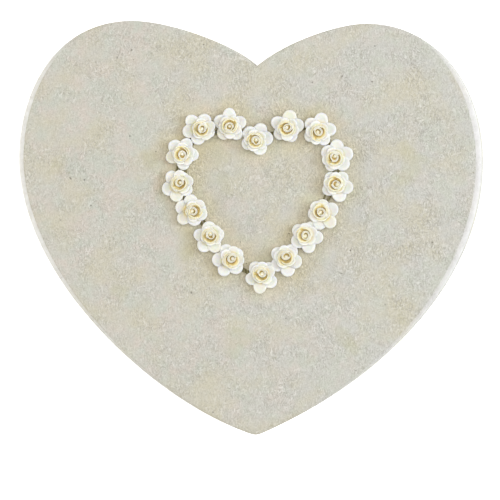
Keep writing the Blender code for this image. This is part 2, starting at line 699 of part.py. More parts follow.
def movement():
    bedplate()
    comb()
    barrel_group()
    barrel_bridge()
    winding_arbor()
    winding_key()
    click_spring()
    drum_group()
    bearing("bearing_left", -1.8, -0.7, 4.5, BEARING_SCREWS[0])
    bearing("bearing_right", 22.3, 23.4, 28.5, BEARING_SCREWS[1])
    governor_frame()
    intermediate_wheel()
    fly_worm()
    fly_vane()
    stop_group()
    for i, at in enumerate(COMB_SCREWS, 1):
        screw(f"comb_screw_{i}", at, DRUM_Z + COMB_H / 2 + GAP, 5)
    for i, y in enumerate(BRIDGE_FEET, 1):
        screw(f"bridge_screw_{i}", (BARREL_X, y), FOOT_TOP, 3)
    for i, x in enumerate(BEARING_SCREWS, 1):
        screw(f"bearing_screw_{i}", (x, DRUM_Y), FOOT_TOP, 3)
    screw("governor_screw", GOVERNOR_SCREW, FOOT_TOP, 3)
    for i, at in enumerate(MOVEMENT_SCREWS, 1):
        screw(f"movement_screw_{i}", at, RECESS_H - GAP, 5.5, 2.4, 1.2, down=-1)


side_wall()
liner("lower_liner", GAP, RECESS_H - GAP)
floor_panel()
liner("middle_liner", FLOOR_TOP + GAP, TRAY_Z - GAP)
tray()
lid()
roses()
movement()
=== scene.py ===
"""Looks of the heart-shaped wind up music box: handmade paper over board, paper roses and a small movement.

Everything is in metres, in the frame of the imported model. Sizes below are in millimetres, times MM.
"""

import math
import random
from collections import namedtuple

import bmesh
import bpy
import numpy as np
from mathutils import Euler, Matrix, Vector, noise
from mathutils.geometry import delaunay_2d_cdt


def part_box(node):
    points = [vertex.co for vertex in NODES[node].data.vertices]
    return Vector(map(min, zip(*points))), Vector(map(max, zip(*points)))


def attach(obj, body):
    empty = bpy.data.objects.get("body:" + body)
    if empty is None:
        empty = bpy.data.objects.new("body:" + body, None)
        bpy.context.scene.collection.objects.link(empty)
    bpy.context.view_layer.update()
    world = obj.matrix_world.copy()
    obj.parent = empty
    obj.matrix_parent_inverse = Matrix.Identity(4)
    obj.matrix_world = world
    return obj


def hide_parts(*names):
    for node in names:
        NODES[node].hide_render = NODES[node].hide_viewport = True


MM = 0.001

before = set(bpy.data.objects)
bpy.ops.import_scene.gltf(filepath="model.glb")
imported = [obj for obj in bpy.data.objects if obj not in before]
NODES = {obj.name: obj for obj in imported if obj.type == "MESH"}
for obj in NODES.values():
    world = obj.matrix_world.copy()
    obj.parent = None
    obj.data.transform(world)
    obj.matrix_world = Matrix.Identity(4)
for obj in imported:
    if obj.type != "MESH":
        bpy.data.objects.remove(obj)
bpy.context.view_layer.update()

# Heart outline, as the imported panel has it: the edge's angle and handle at the notch and the tip, and the
# place and handles of the lobe and the side.
AXIS_X = 2.0
NOTCH_Y, TIP_Y = 48.7, -62.7
LEFT = {
    "notch": (44, 11.9), "lobe": (-35.6, 62.7, 9.6, 22.4),
    "side": (-70.0, 21.1, 21.7, 36.2), "tip": (17.6, 31.9),
}
RIGHT = {
    "notch": (41.5, 11.3), "lobe": (35.2, 61.7, 8.2, 21.7),
    "side": (70.0, 20.2, 22.5, 40.5), "tip": (22.5, 33.0),
}
BEZIER_STEPS, HALF_POINTS = 90, 190  # points along each curve, then along each half once it is evened out
INNER_INSET = 4.0

# Each rose in the order of its node: its turn in degrees, then how far its low petals and its heart sit off
# its centre.
ROSES = (
    (70, (0.2, 0.1), (0.1, -0.5)), (8, (-0.2, 0.5), (-0.1, 0.1)), (4, (0.4, 0.5), (0.3, -0.4)),
    (16, (0.3, 0.5), (-0.4, 0.1)), (60, (0.3, -0.5), (-0.1, -0.1)), (28, (0.8, -0.5), (0.1, 0.3)),
    (64, (-0.1, -0.5), (-0.4, -0.1)), (67, (0.4, -0.4), (0.5, 0.7)), (51, (-0.4, -0.6), (-0.2, 0.4)),
    (33, (-0.5, -0.4), (0.7, -0.1)), (15, (-0.6, -0.4), (-0.1, 0.3)), (11, (-1.2, 0.1), (-0.1, 0.0)),
    (52, (-0.9, -0.6), (-0.2, 0.3)), (61, (-0.6, 0.0), (-0.4, -0.4)), (54, (-0.8, 0.1), (0.5, 0.0)),
    (18, (0.0, 0.2), (-0.2, -0.3)),
)
PETAL_THICKNESS = 0.18
OUTER_REACH, OUTER_WIDTH = 5.05, 2.15  # the low petals' length and half width
UPPER_REACH, UPPER_WIDTH = 3.5, 1.80
WARM_R, WARM_FADE = 2.92, 1.65  # a petal's tone deepens over that distance inside that radius: partly cream-gold, partly painted shade
# The petals wound round the heart: where each starts, in radians, and how far it sweeps, in degrees, then the
# height of its foot, and the radius and height of its lip.
WOUND_FOOT_R = 1.5
WOUND_PETALS = ((0, 170, 2.1, 2.30, 3.5), (2.4, 250, 2.2, 1.85, 4.0), (5.4, 160, 2.2, 1.75, 4.15))
ROSE_SHADE_FULL, ROSE_SHADE_END = 5.4, 10.2  # how far from a rose's centre the painted warm shade round it stays full, and where it has faded out


# Node materials


def new_material(name):
    """A material, its node tree and its shader."""
    made = bpy.data.materials.new(name)
    made.use_nodes = True
    return made, made.node_tree, made.node_tree.nodes["Principled BSDF"]


def feed(tree, made, inputs):
    """Sets a node's inputs, which are values or other nodes' outputs."""
    for socket, value in inputs.items():
        if isinstance(value, bpy.types.NodeSocket):
            tree.links.new(value, made.inputs[socket])
        else:
            made.inputs[socket].default_value = value


def node(tree, kind, inputs=None, **settings):
    """A shader node with its settings and its inputs."""
    made = tree.nodes.new("ShaderNode" + kind)
    for key, value in settings.items():
        setattr(made, key, value)
    feed(tree, made, inputs or {})
    return made


def on_piece(tree):
    """The place on the piece, in metres."""
    return node(tree, "TexCoord").outputs["Object"]


def painted(tree, name, output="Fac"):
    """What the mesh attribute of that name says."""
    return node(tree, "Attribute", attribute_name=name).outputs[output]


def place(tree, vector, size=(1, 1, 1), turn=(0, 0, 0)):
    """The vector turned, and counted in steps of that size in metres."""
    inputs = {"Vector": vector, "Scale": size, "Rotation": turn}
    return node(tree, "Mapping", inputs, vector_type="TEXTURE").outputs["Vector"]


def grain(tree, vector, scale, detail=2.0, roughness=0.5, distortion=0.0):
    """Noise with that many cells to the metre."""
    inputs = {"Vector": vector, "Scale": scale, "Detail": detail}
    inputs |= {"Roughness": roughness, "Distortion": distortion}
    return node(tree, "TexNoise", inputs).outputs["Fac"]


def span(tree, value, low, high, to_low=0.0, to_high=1.0):
    """The value stretched from low..high to to_low..to_high, and held there."""
    inputs = {"Value": value, "From Min": low, "From Max": high, "To Min": to_low, "To Max": to_high}
    return node(tree, "MapRange", inputs).outputs["Result"]


def clouds(tree, vector, scale, detail, low, high, to_low=0.0, to_high=1.0):
    """Noise with its low and high ends cut off, which leaves patches."""
    return span(tree, grain(tree, vector, scale, detail), low, high, to_low, to_high)


def maths(tree, operation, first, second):
    """Two values added, multiplied and so on."""
    return node(tree, "Math", {0: first, 1: second}, operation=operation).outputs["Value"]


def specks(tree, vector, scale, radii, chosen, channel="Red", most=1.0):
    """Round spots in Voronoi cells. radii are where a spot starts and ends fading, and chosen is the stretch
    of the cells' random numbers over which spots come in."""
    cells = node(tree, "TexVoronoi", {"Vector": vector, "Scale": scale})
    spot = span(tree, cells.outputs["Distance"], *radii, 1.0, 0.0)
    number = node(tree, "SeparateColor", {"Color": cells.outputs["Color"]}).outputs[channel]
    return maths(tree, "MULTIPLY", spot, span(tree, number, *chosen, 0.0, most))


def ramp(tree, value, stops):
    """A colour ramp: (position, colour) stops."""
    made = node(tree, "ValToRGB", {"Fac": value})
    band = made.color_ramp
    while len(band.elements) < len(stops):
        band.elements.new(0.5)
    for element, (position, colour) in zip(band.elements, stops):
        element.position = position
        element.color = (*colour, 1)
    return made.outputs["Color"]


def mix(tree, factor, first, second, blend="MIX"):
    """Two colours mixed. A colour is a tuple or another node's output."""
    made = node(tree, "Mix", data_type="RGBA", blend_type=blend)
    first, second = ((*value, 1) if isinstance(value, tuple) else value for value in (first, second))
    factor_at, first_at, second_at, result_at = 0, 6, 7, 2  # a Mix node's sockets when it mixes colours
    feed(tree, made, {factor_at: factor, first_at: first, second_at: second})
    return made.outputs[result_at]


def bump(tree, shader, height, depth, strength=1.0):
    """Relief of that depth in metres."""
    made = node(tree, "Bump", {"Height": height, "Distance": depth, "Strength": strength})
    tree.links.new(made.outputs["Normal"], shader.inputs["Normal"])


def streaks(tree, vector, turns, long, wide, edges):
    """Short fibres lying at several angles: long and wide are a fibre's length and width in metres."""
    found = None
    for turn in turns:
        lined = place(tree, vector, (long, wide, wide), turn)
        layer = clouds(tree, lined, 1.0, 0.0, *edges)
        found = layer if found is None else maths(tree, "MAXIMUM", found, layer)
    return found


def curled(tree, here, width):
    """The place moved about within that width in metres, so that straight fibres drawn on it curl."""
    drift = node(tree, "TexNoise", {"Vector": here, "Scale": 420.0, "Detail": 1.0}).outputs["Color"]
    away = node(tree, "VectorMath", {0: drift, 1: (0.5, 0.5, 0.5)}, operation="SUBTRACT").outputs["Vector"]
    away = node(tree, "VectorMath", {0: away, "Scale": width}, operation="SCALE").outputs["Vector"]
    return node(tree, "VectorMath", {0: here, 1: away}, operation="ADD").outputs["Vector"]


def paper_ground(tree, here, across, grounds):
    """The pulp's colour: a base that turns cooler to the right, under rosy, green and straw clouds."""
    base, rosy, green, straw = grounds
    cooler = tuple(part * share for part, share in zip(base, (0.975, 1.012, 1.065)))
    tone = mix(tree, across, base, cooler)
    fading = span(tree, across, 0.0, 1.0, 1.0, 0.4)
    blush = maths(tree, "MULTIPLY", clouds(tree, here, 170.0, 2.0, 0.44, 0.62), fading)
    tone = mix(tree, blush, tone, rosy)
    turned = place(tree, here, (0.9, 1.1, 1.0), (0, 0, 1))
    tone = mix(tree, clouds(tree, turned, 190.0, 2.0, 0.46, 0.64), tone, green)
    turned = place(tree, here, (1.0, 1.2, 1.0), (0, 0, 2))
    return mix(tree, clouds(tree, turned, 95.0, 3.0, 0.46, 0.66), tone, straw)


def paper_fibres(tree, here, wandering, across, turns):
    """Light and dark fibres, which lie thicker in clumps and towards the right."""
    edges = (0.60, 0.74)
    light = streaks(tree, wandering, turns[0::2], 0.0017, 0.00030, edges)
    dark = streaks(tree, wandering, turns[1::2], 0.0015, 0.00032, edges)
    clumps = clouds(tree, place(tree, here, turn=(0, 0, 0.7)), 150.0, 2.0, 0.36, 0.64, 0.55, 1.35)
    clumps = maths(tree, "MULTIPLY", clumps, span(tree, across, 0.0, 1.0, 0.9, 1.15))
    return maths(tree, "MULTIPLY", light, clumps), maths(tree, "MULTIPLY", dark, clumps)


def paper_flecks(tree, here, wandering, tone):
    """The tone with dark flecks, slivers of olive bark and faint olive stains in it."""
    flecks = specks(tree, wandering, 230.0, (0.04, 0.085), (0.26, 0.50))
    stretched = place(tree, wandering, (0.007, 0.0011, 0.0025), (0, 0, 0.6))
    slivers = specks(tree, stretched, 1.0, (0.06, 0.16), (0.80, 0.84), "Green")
    stains = clouds(tree, here, 75.0, 1.0, 0.66, 0.74)
    nearly_black, bark, olive = (0.13, 0.12, 0.09), (0.34, 0.31, 0.15), (0.50, 0.49, 0.27)
    kinds = ((flecks, 0.75, nearly_black), (slivers, 0.4, bark), (stains, 0.22, olive))
    for marks, strength, colour in kinds:
        tone = mix(tree, maths(tree, "MULTIPLY", marks, strength), tone, colour)
    return tone


def paper_material(name, grounds, turns):
    """Handmade paper: four grounds in clouds, curled fibres lying at the given turns, flecks and bark.

    One mesh attribute marks a painted warm shade round the roses, and another a painted highlight along
    the lid's rounded edge where it faces left and right.
    """
    made, tree, shader = new_material(name)
    here = on_piece(tree)
    wandering = curled(tree, here, 0.0013)
    across = span(tree, node(tree, "SeparateXYZ", {"Vector": here}).outputs["X"], -0.05, 0.05)
    tone = paper_ground(tree, here, across, grounds)
    light, dark = paper_fibres(tree, here, wandering, across, turns)
    for fibres, colour in ((light, (0.97, 0.95, 0.90)), (dark, (0.26, 0.24, 0.18))):
        tone = mix(tree, maths(tree, "MULTIPLY", fibres, 0.34), tone, colour)
    fine = span(tree, grain(tree, here, 1900.0, 2.0, 0.7), 0.32, 0.68)
    pulp = mix(tree, fine, (0.40, 0.38, 0.33), (0.84, 0.82, 0.76))
    tone = mix(tree, 0.22, tone, pulp)
    tone = paper_flecks(tree, here, wandering, tone)
    # A painted warm shade round each rose, standing in for its shadow and the warm light its petals throw
    # back.
    shade_tint = (1.045, 1.0, 0.862)
    tone = mix(tree, painted(tree, "rose_shade"), tone, shade_tint, "MULTIPLY")
    # A painted highlight in patches on the lid's rounded side edges, brighter on the left flank than the
    # right.
    patches = clouds(tree, here, 500.0, 3.0, 0.34, 0.58, 0.62, 0.86)
    worn = mix(tree, across, (0.90, 0.90, 0.88), (0.79, 0.765, 0.745))
    tone = mix(tree, maths(tree, "MULTIPLY", painted(tree, "edge_highlight"), patches), tone, worn)
    settings = {"Roughness": 0.88, "Specular IOR Level": 0.3, "Sheen Weight": 0.15}
    feed(tree, shader, {"Base Color": tone, **settings})
    relief = maths(tree, "SUBTRACT", light, maths(tree, "MULTIPLY", dark, 0.6))
    relief = maths(tree, "ADD", relief, maths(tree, "MULTIPLY", fine, 0.5))
    bump(tree, shader, relief, 0.00007, 0.8)
    return made


def petal_material(name, stops):
    """Thin mulberry paper.

    The mesh attribute tone runs from a petal's end to the heart, where the deeper colour is partly the
    paper's cream-gold and partly painted shade. edge marks its rim, which stays paler than the petal's middle
    as a painted highlight, and outward is the way that the paler back of a wound petal faces; its inner face
    keeps the deeper tone, partly as painted shade.
    """
    made, tree, shader = new_material(name)
    here = on_piece(tree)
    normal = node(tree, "TexCoord").outputs["Normal"]
    ways = {0: normal, 1: painted(tree, "outward", "Vector")}
    facing = node(tree, "VectorMath", ways, operation="DOT_PRODUCT").outputs["Value"]
    tone = maths(tree, "MULTIPLY", painted(tree, "tone"), span(tree, facing, 0.1, 0.4, 1.0, 0.3))
    shades = clouds(tree, here, 900.0, 2.0, 0.3, 0.7, -0.05, 0.05)
    colour = ramp(tree, maths(tree, "ADD", tone, shades), stops)
    tint = mix(tree, clouds(tree, here, 420.0, 1.0, 0.4, 0.6), (0.905, 0.87, 0.875), (0.85, 0.895, 0.845))
    # A tint wandering between lilac and green dulls each petal's middle; its rim stays paler as a painted
    # highlight.
    inner = span(tree, painted(tree, "edge"), 0.60, 0.92, 0.9, 0.0)
    colour = mix(tree, inner, colour, tint, "MULTIPLY")
    veins = streaks(tree, here, ((0, 0, 0.2), (0, 0, 1.3), (0, 0, 2.3)), 0.0012, 0.00016, (0.58, 0.72))
    colour = mix(tree, maths(tree, "MULTIPLY", veins, 0.10), colour, (0.62, 0.60, 0.50))
    surface = {"Roughness": 0.8, "Specular IOR Level": 0.25, "Sheen Weight": 0.1}
    glow = {"Subsurface Weight": 0.4, "Subsurface Radius": (1.0, 0.85, 0.55), "Subsurface Scale": 0.0005}
    feed(tree, shader, {"Base Color": colour, **surface, **glow})
    bump(tree, shader, veins, 0.00003, 0.6)
    return made


def wrap_material(name, dark, light):
    """Paper-wound florist's wire."""
    made, tree, shader = new_material(name)
    here = on_piece(tree)
    winds = node(tree, "TexWave", {"Vector": here, "Scale": 320.0, "Distortion": 2.0, "Detail": 2.0})
    soil = clouds(tree, here, 1500.0, 2.0, 0.4, 0.7, 0.0, 0.35)
    tone = mix(tree, soil, mix(tree, winds.outputs["Fac"], dark, light), (0.18, 0.16, 0.08))
    feed(tree, shader, {"Base Color": tone, "Roughness": 0.9})
    bump(tree, shader, winds.outputs["Fac"], 0.00005, 0.7)
    return made


def board_material(name, colour, deep):
    """Grey board: pressed pulp with specks."""
    made, tree, shader = new_material(name)
    here = on_piece(tree)
    pulp = grain(tree, here, 700.0, 4.0, 0.7)
    tone = mix(tree, span(tree, pulp, 0.35, 0.65), deep, colour)
    flecks = specks(tree, here, 900.0, (0.08, 0.16), (0.7, 0.75), most=0.5)
    tone = mix(tree, flecks, tone, (0.12, 0.10, 0.08))
    feed(tree, shader, {"Base Color": tone, "Roughness": 0.92, "Specular IOR Level": 0.2})
    bump(tree, shader, pulp, 0.00008, 0.6)
    return made


def flock_material(name, colour, deep):
    """Short-napped flock."""
    made, tree, shader = new_material(name)
    here = on_piece(tree)
    nap = grain(tree, here, 3200.0, 2.0, 0.7)
    brushed = grain(tree, here, 55.0, 3.0, 0.5, 0.6)
    tone = mix(tree, span(tree, nap, 0.3, 0.7), deep, colour)
    tone = mix(tree, span(tree, brushed, 0.42, 0.62, 0.0, 0.35), tone, deep)
    settings = {"Roughness": 0.95, "Specular IOR Level": 0.1, "Sheen Weight": 0.5, "Sheen Roughness": 0.4}
    feed(tree, shader, {"Base Color": tone, **settings})
    bump(tree, shader, nap, 0.00018, 0.8)
    return made


def metal_material(name, colour, roughness, brushed=(12, 12, 1), pits=0.0):
    """Metal with brush lines, a change of tone, and cast pits if it has any. brushed is a line's shape along
    x, y and z."""
    made, tree, shader = new_material(name)
    here = on_piece(tree)
    line_width = 0.0003
    lines = grain(tree, place(tree, here, tuple(line_width * share for share in brushed)), 1.0, 4.0, 0.6)
    patch = grain(tree, here, 160.0, 3.0)
    darker = tuple(0.72 * part for part in colour)
    tone = mix(tree, span(tree, patch, 0.35, 0.7), colour, darker)
    tone = mix(tree, span(tree, lines, 0.4, 0.62, 0.0, 0.12), tone, (0.95, 0.95, 0.95))
    rough = span(tree, maths(tree, "ADD", lines, patch), 0.7, 1.3, roughness * 0.75, roughness * 1.3)
    feed(tree, shader, {"Base Color": tone, "Metallic": 1.0, "Roughness": rough})
    relief = lines
    if pits:
        cast = maths(tree, "MULTIPLY", grain(tree, here, 1800.0, 3.0), pits)
        relief = maths(tree, "ADD", lines, cast)
    bump(tree, shader, relief, 0.00002 + 0.00004 * pits, 0.5)
    return made


def moulded_material(name, colour, roughness):
    """Moulded plastic: an even colour with fine spark-erosion texture and faint flow marks."""
    made, tree, shader = new_material(name)
    here = on_piece(tree)
    texture = grain(tree, here, 4200.0, 3.0, 0.7)
    flow = grain(tree, here, 90.0, 2.0, 0.5, 1.0)
    deeper = tuple(0.82 * part for part in colour)
    tone = mix(tree, span(tree, flow, 0.35, 0.65), colour, deeper)
    rough = span(tree, texture, 0.3, 0.7, roughness * 0.85, roughness * 1.15)
    feed(tree, shader, {"Base Color": tone, "Roughness": rough})
    bump(tree, shader, texture, 0.00002, 0.5)
    return made


# How the fibres lie in a flat sheet and in a sheet that stands on edge, and the paper's four grounds.
LAID = ((0, 0, 0.4), (0, 0, 1.15), (0, 0.2, 1.45), (0, 0, 1.6), (0.2, 0, 1.85), (0, 0.2, 2.5))
STOOD = ((0, 0.6, 0.3), (1.2, 0, 0.9), (0, -0.7, 1.4), (0, 1.4, 2.0), (0.3, 0.2, 2.5), (0, -1.2, 3.0))
CREAM = ((0.585, 0.563, 0.493), (0.629, 0.563, 0.491), (0.560, 0.577, 0.497), (0.590, 0.553, 0.418))
PAPER = paper_material("handmade_paper", CREAM, LAID)
WALL_PAPER = paper_material("wall_paper", CREAM, STOOD)
# Cream and gold are the paper's own colours; the deep gold and olive-brown end is painted shade in the heart.
PETALS = petal_material(
    "rose_petals",
    (
        (0.0, (0.945, 0.94, 0.90)), (0.3, (0.93, 0.89, 0.72)), (0.62, (0.92, 0.80, 0.43)),
        (0.85, (0.86, 0.66, 0.28)), (1.0, (0.57, 0.43, 0.16)),
    ),
)
STEM = wrap_material("stem_wrap", (0.13, 0.12, 0.05), (0.28, 0.25, 0.13))
BOARD = board_material("grey_board", (0.46, 0.42, 0.35), (0.36, 0.33, 0.27))
FLOCK = flock_material("cream_flock", (0.76, 0.70, 0.58), (0.60, 0.54, 0.43))
ZINC = metal_material("cast_zinc", (0.50, 0.51, 0.52), 0.45, (3, 3, 3), 1.0)
STEEL = metal_material("bright_steel", (0.63, 0.64, 0.66), 0.28)
COMB_STEEL = metal_material("ground_steel", (0.58, 0.60, 0.63), 0.24, (12, 1, 12))
SPRING_STEEL = metal_material("blued_steel", (0.24, 0.26, 0.32), 0.3)
BRASS = metal_material("brass", (0.78, 0.58, 0.27), 0.26, (1, 12, 12))
NYLON = moulded_material("white_nylon", (0.80, 0.79, 0.72), 0.45)
KNOB = moulded_material("black_knob", (0.025, 0.025, 0.028), 0.42)


# Heart


def bezier(start, handle_a, handle_b, end):
    """Points along a Bezier curve, without its end."""
    t = np.linspace(0, 1, BEZIER_STEPS, endpoint=False)[:, None]
    s = 1 - t
    return s**3 * start + 3 * s * s * t * handle_a + 3 * s * t * t * handle_b + t**3 * end


def half_outline(shape, side):
    """The half of the heart on one side (+1 right, -1 left), from the notch round to the tip."""
    notch, tip = np.array((AXIS_X, NOTCH_Y)), np.array((AXIS_X, TIP_Y))
    notch_angle, notch_handle = math.radians(shape["notch"][0]), shape["notch"][1]
    tip_angle, tip_handle = math.radians(shape["tip"][0]), shape["tip"][1]
    lobe, flank = np.array(shape["lobe"][:2]), np.array(shape["side"][:2])
    lobe_in, lobe_out = shape["lobe"][2:]
    flank_up, flank_down = shape["side"][2:]
    out, up = np.array((side, 0)), np.array((0, 1))
    from_notch = notch + notch_handle * np.array((side * math.cos(notch_angle), math.sin(notch_angle)))
    to_tip = tip + tip_handle * np.array((side * math.cos(tip_angle), math.sin(tip_angle)))
    return np.vstack([
        bezier(notch, from_notch, lobe - out * lobe_in, lobe),
        bezier(lobe, lobe + out * lobe_out, flank + up * flank_up, flank),
        bezier(flank, flank - up * flank_down, to_tip, tip),
        tip,
    ])


def resampled(points, count):
    """count points evenly along a line, both ends included."""
    steps = np.linalg.norm(np.diff(points, axis=0), axis=1)
    run = np.concatenate([[0], np.cumsum(steps)])
    at = np.linspace(0, run[-1], count)
    return np.column_stack([np.interp(at, run, points[:, axis]) for axis in (0, 1)])


def inset_half(shape, side, inset):
    """A half outline moved inwards, with its ends run on or cut back to the axis."""
    points = half_outline(shape, side)
    along = np.gradient(points, axis=0)
    along /= np.linalg.norm(along, axis=1)[:, None]
    moved = points + side * inset * np.column_stack([along[:, 1], -along[:, 0]])
    clear_of_axis = 0.05
    moved = moved[(moved[:, 0] - AXIS_X) * side > clear_of_axis]
    ends = []
    for near, far in ((0, 1), (-1, -2)):
        slope = moved[near] - moved[far]
        ends.append(moved[near] + slope * (AXIS_X - moved[near][0]) / slope[0])
    return resampled(np.vstack([ends[0], moved, ends[1]]), HALF_POINTS)


def eased(row):
    """Each value averaged with its neighbours round the outline."""
    return 0.5 * row + 0.25 * (np.roll(row, 1, axis=0) + np.roll(row, -1, axis=0))


def heart(inset):
    """The outline moved inwards, in metres, anticlockwise, with its tip eased and its notch left sharp."""
    left = inset_half(LEFT, -1, inset)
    right = inset_half(RIGHT, 1, inset)
    loop = np.vstack([left, right[-2:0:-1]])
    tip = HALF_POINTS - 1
    for _ in range(2):
        loop[tip - 2 : tip + 3] = eased(loop)[tip - 2 : tip + 3]
    return loop * MM


OUTLINE = heart(0)
INNER_OUTLINE = heart(INNER_INSET)


def sideways():
    """1 where the outline faces left or right, falling to 0 where it faces the notch or the lobes' tops."""
    along = np.roll(OUTLINE, -1, axis=0) - np.roll(OUTLINE, 1, axis=0)
    facing = np.abs(along[:, 1]) / np.linalg.norm(along, axis=1)
    for _ in range(4):
        facing = eased(facing)
    least, most = 0.5, 0.95
    return np.clip((facing - least) / (most - least), 0, 1)


SIDEWAYS = sideways()


# Mesh helpers


def clamped(value, low=0.0):
    """The value, held between low and 1."""
    return max(low, min(1.0, value))


def ripple_at(point, level, scale):
    """Smooth noise from about -1 to 1 over a sheet, a different one at each level."""
    return noise.noise(Vector((point.x, point.y, level)) * scale)


def new_piece(name, bm, materials, body, replaced=(), smooth=40):
    """A finished piece: its mesh, its materials, the body it rides on and the nodes it stands for.
    Edges sharper than smooth, in degrees, stay sharp."""
    data = bpy.data.meshes.new(name)
    bmesh.ops.recalc_face_normals(bm, faces=bm.faces)
    bm.to_mesh(data)
    bm.free()
    piece = bpy.data.objects.new(name, data)
    bpy.context.scene.collection.objects.link(piece)
    for material in materials:
        data.materials.append(material)
    data.shade_smooth()
    data.set_sharp_from_angle(angle=math.radians(smooth))
    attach(piece, body)
    if replaced:
        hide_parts(*replaced)
    return piece


def loop_of(bm, points, heights):
    """A ring of mesh points, at one height or one for each of them."""
    return [bm.verts.new((x, y, z)) for (x, y), z in zip(points, np.broadcast_to(heights, len(points)))]


def grid_faces(bm, rows, wrap):
    """Faces between each row of points and the next. Rows that wrap are closed rings."""
    for first, second in zip(rows, rows[1:]):
        count = len(first)
        for i in range(count if wrap else count - 1):
            j = (i + 1) % count
            bm.faces.new((first[i], first[j], second[j], second[i]))


def fan(bm, tip, ring):
    """Triangles from one point to a ring."""
    for i in range(len(ring)):
        bm.faces.new((tip, ring[i], ring[(i + 1) % len(ring)]))


def sweep(bm, section, closed, wobble=0.0):
    """Carries a section round the heart and returns its loops. Its points are (inset, height) in mm, each one
    number or one for every point of the outline."""
    loops = []
    for inset, height in section:
        points = heart(inset) if np.isscalar(inset) else between(inset)
        loops.append(loop_of(bm, points + wobble, height * MM))
    grid_faces(bm, loops + loops[:1] if closed else loops, True)
    return loops


def between(insets):
    """The outline moved inwards by a different distance, up to about INNER_INSET, at each point."""
    share = (insets / INNER_INSET)[:, None]
    return OUTLINE * (1 - share) + INNER_OUTLINE * share


def fill(bm, loop, spacing=None, lift=None):
    """Closes a level loop with triangles, which can lie over a grid of that spacing in mm, raised by lift."""
    if spacing is None:
        edges = [bm.edges.get(pair) for pair in zip(loop, loop[1:] + loop[:1])]
        bmesh.ops.triangle_fill(bm, edges=edges)
        return
    rim = [vert.co.xy.copy() for vert in loop]
    height = loop[0].co.z
    low = Vector((min(p.x for p in rim), min(p.y for p in rim)))
    high = Vector((max(p.x for p in rim), max(p.y for p in rim)))
    step, row_share = spacing * MM, 0.87  # a row's height, as a share of the step, that makes even triangles
    grid = []
    for row in range(int((high.y - low.y) / (step * row_share))):
        for column in range(int((high.x - low.x) / step)):
            grid.append(low + Vector(((column + 0.5 * (row % 2)) * step, row * step * row_share)))
    edges = [(i, (i + 1) % len(rim)) for i in range(len(rim))]
    inside_only, nearest = 1, 1e-7
    points, _, faces, sources, _, _ = delaunay_2d_cdt(rim + grid, edges, [], inside_only, nearest)
    verts = []
    for point, source in zip(points, sources):
        on_rim = [i for i in source if i < len(rim)]
        if on_rim:
            verts.append(loop[on_rim[0]])
            continue
        rise = lift(point) if lift else 0.0
        verts.append(bm.verts.new((point.x, point.y, height + rise)))
    for face in faces:
        if len({verts[i] for i in face}) == len(face):
            bm.faces.new([verts[i] for i in face])
    loose = [vert for vert in verts if not vert.link_faces]
    bmesh.ops.delete(bm, geom=loose, context="VERTS")


def arc(centre, radius, start, end, steps):
    """Points of a section round (inset, height), at angles in degrees from outwards to up."""
    points = []
    for i in range(steps + 1):
        angle = math.radians(start + (end - start) * i / steps)
        points.append((centre[0] - radius * math.cos(angle), centre[1] + radius * math.sin(angle)))
    return points


# Lid and box


def top_of(name):
    """The height of a CAD node's top, in mm."""
    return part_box(name)[1].z / MM


def bottom_of(name):
    """The height of a CAD node's underside, in mm."""
    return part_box(name)[0].z / MM


LID_TOP = top_of("lid_panel")
SKIRT_TOP, SKIRT_LOW = top_of("lid_skirt"), bottom_of("lid_skirt")
WALL_TOP = top_of("side_wall")

# How far inside the outline the boards' faces lie, and where the lid's side strip ends on its board.
SKIRT_INNER, BOX_OUTER, BOX_INNER, LINER_OUTER, LINER_INNER = 1.8, 2.2, 4.4, 4.7, 6.5
STRIP_END, PANEL_EDGE = 4.1, 4.4

EDGE_R = 0.45 + 1.35 * SIDEWAYS  # the rounding of the lid's upper edge
SHEET_INSET, SHEET_H = 0.88 * EDGE_R, 0.16  # the top sheet lies over the turned-in edge of the side strip
SHEET_LOW = LID_TOP - SHEET_H
HIGHLIGHT_DEPTH = 4.0  # how far down the lid's side the painted edge highlight reaches


def uneven(size, scale, seed):
    """Small moves of the outline, in metres, as a hand-cut edge has."""
    moves = []
    for x, y in OUTLINE:
        where = Vector((x, y, seed)) * scale
        moves.append((noise.noise(where), noise.noise(where + Vector((0, 0, 9.0)))))
    return np.array(moves) * size * MM


def lid_side():
    """The lid's board wall with its paper strip turned over the upper edge and in under the lower one."""
    bm = bmesh.new()
    edge_highlight = bm.verts.layers.float.new("edge_highlight")
    fold_r = 0.5
    shoulder = SHEET_LOW - EDGE_R
    section = [(SKIRT_INNER, SKIRT_TOP), (SKIRT_INNER, SKIRT_LOW + fold_r)]
    section += arc((SKIRT_INNER - fold_r, SKIRT_LOW + fold_r), fold_r, 180, 270, 4)[1:]
    section += arc((fold_r, SKIRT_LOW + fold_r), fold_r, -90, 0, 4)
    section += [(0, SKIRT_LOW + 6), (0, LID_TOP - 7)]
    edge = [(0, LID_TOP - HIGHLIGHT_DEPTH), *arc((EDGE_R, shoulder), EDGE_R, 0, 90, 8)]
    turned_in = [(STRIP_END, SHEET_LOW), (STRIP_END, SKIRT_TOP)]
    loops = sweep(bm, section + edge + turned_in, closed=True)
    # A painted highlight on the rounded upper edge where it faces left and right, fading down the side.
    for loop in loops[len(section) : len(section) + len(edge)]:
        for vert, share, height in zip(loop, SIDEWAYS, shoulder):
            vert[edge_highlight] = share * clamped((vert.co.z / MM - height + HIGHLIGHT_DEPTH) / HIGHLIGHT_DEPTH)
    return new_piece("lid_side", bm, [WALL_PAPER], "lid", ["lid_skirt"], 30)


def sheet_lift(point):
    """The top sheet's slight waves over the board."""
    return MM * (0.07 * ripple_at(point, 0.3, 38) + 0.03 * ripple_at(point, 0.3, 110))


